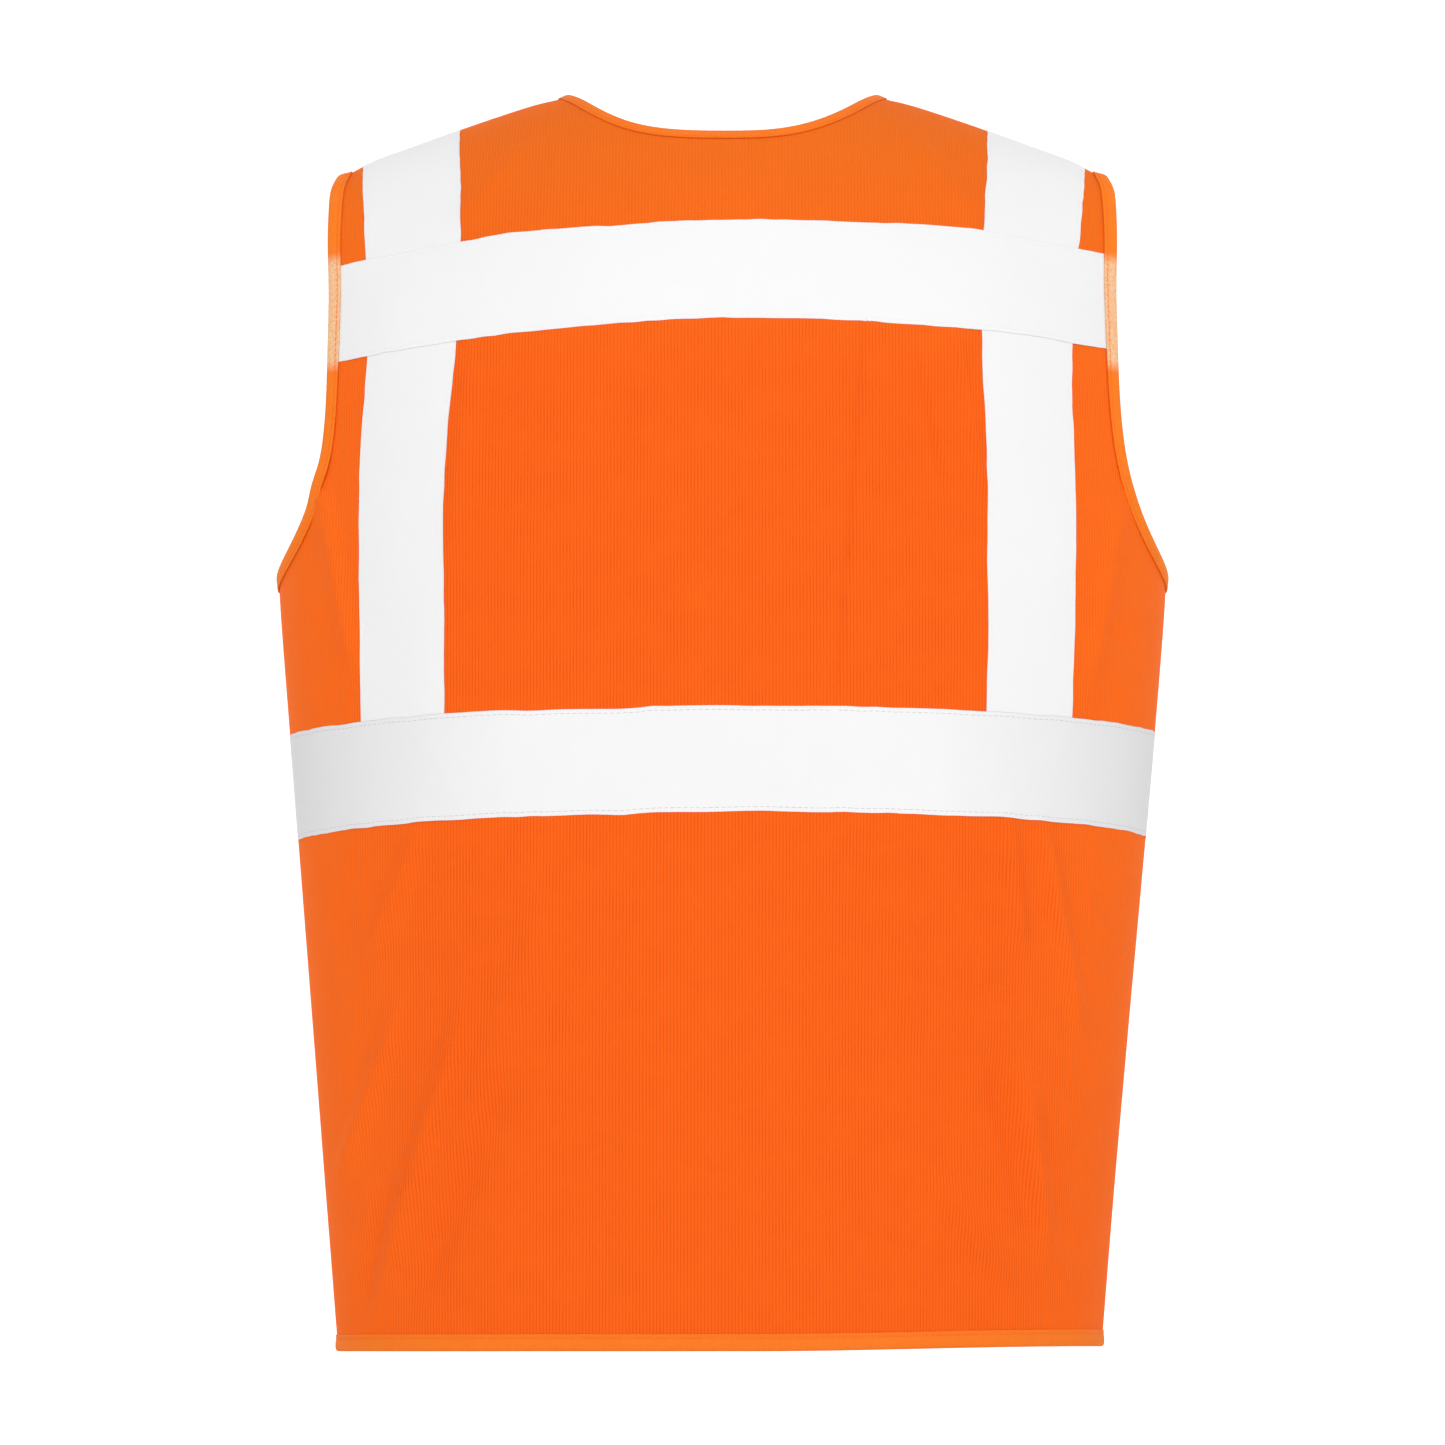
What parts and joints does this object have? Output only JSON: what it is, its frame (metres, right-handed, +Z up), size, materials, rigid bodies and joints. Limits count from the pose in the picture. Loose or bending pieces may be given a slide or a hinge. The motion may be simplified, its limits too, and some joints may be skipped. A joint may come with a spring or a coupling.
{
  "type": "high visibility vest",
  "caption": "Sleeveless high visibility vest with bound edges, reflective body and shoulder tapes, and overlapping hook and loop fronts that open.",
  "frame": {"origin": "midway between the two neck points, where a hanger or the wearer's shoulders hold the vest up", "axes": "+Z up, the back faces -Y and the fronts face +Y, +X is the wearer's right"},
  "size_m": [0.4382, 0.2247, 0.6203],
  "materials": {
    "knit_fabric": "warp-knitted polyester, fluorescent orange",
    "binding": "folded woven binding, orange",
    "reflective_tape": "reflective silver grey cloth tape",
    "overlock_seam": "overlocked seam allowance",
    "label": "plain woven label",
    "hook_tape": "hook tape",
    "loop_tape": "brushed loop tape"
  },
  "bodies": {
    "vest_body": {"back_panel": "knit_fabric", "right_front_panel": "knit_fabric", "left_front_panel": "knit_fabric", "back_neck_binding": "binding", "right_neck_binding": "binding", "left_neck_binding": "binding", "right_armhole_binding": "binding", "left_armhole_binding": "binding", "back_hem_binding": "binding", "right_hem_binding": "binding", "left_hem_binding": "binding", "back_upper_tape": "reflective_tape", "back_waist_tape": "reflective_tape", "back_right_brace_tape": "reflective_tape", "back_left_brace_tape": "reflective_tape", "front_right_brace_tape": "reflective_tape", "front_left_brace_tape": "reflective_tape", "right_chest_tape": "reflective_tape", "left_chest_tape": "reflective_tape", "right_waist_tape": "reflective_tape", "left_waist_tape": "reflective_tape", "right_side_seam": "overlock_seam", "left_side_seam": "overlock_seam", "right_shoulder_seam": "overlock_seam", "left_shoulder_seam": "overlock_seam", "size_label": "label", "care_label": "label"},
    "right_front": {"right_flap": "knit_fabric", "right_flap_chest_tape": "reflective_tape", "right_flap_waist_tape": "reflective_tape", "right_flap_hem_binding": "binding", "right_front_edge_binding": "binding", "loop_patches": "loop_tape"},
    "left_front": {"left_flap": "knit_fabric", "left_flap_chest_tape": "reflective_tape", "left_flap_waist_tape": "reflective_tape", "left_flap_hem_binding": "binding", "left_front_edge_binding": "binding", "hook_patches": "hook_tape"}
  },
  "joints": [
    {"name": "left_front_opens", "type": "hinge", "parent": "vest_body", "child": "left_front", "pos_m": [-0.13126, 0.08398, -0.61805], "axis": [0.135, 0.0339, 0.9903], "range_deg": [0, 140]},
    {"name": "right_front_opens", "type": "hinge", "parent": "vest_body", "child": "right_front", "pos_m": [0.13126, 0.08398, -0.61805], "axis": [0.135, -0.0339, -0.9903], "range_deg": [0, 94]}
  ],
  "couplings": [
    {"joint": "right_front_opens", "follows": "left_front_opens", "ratio": 0.66}
  ]
}
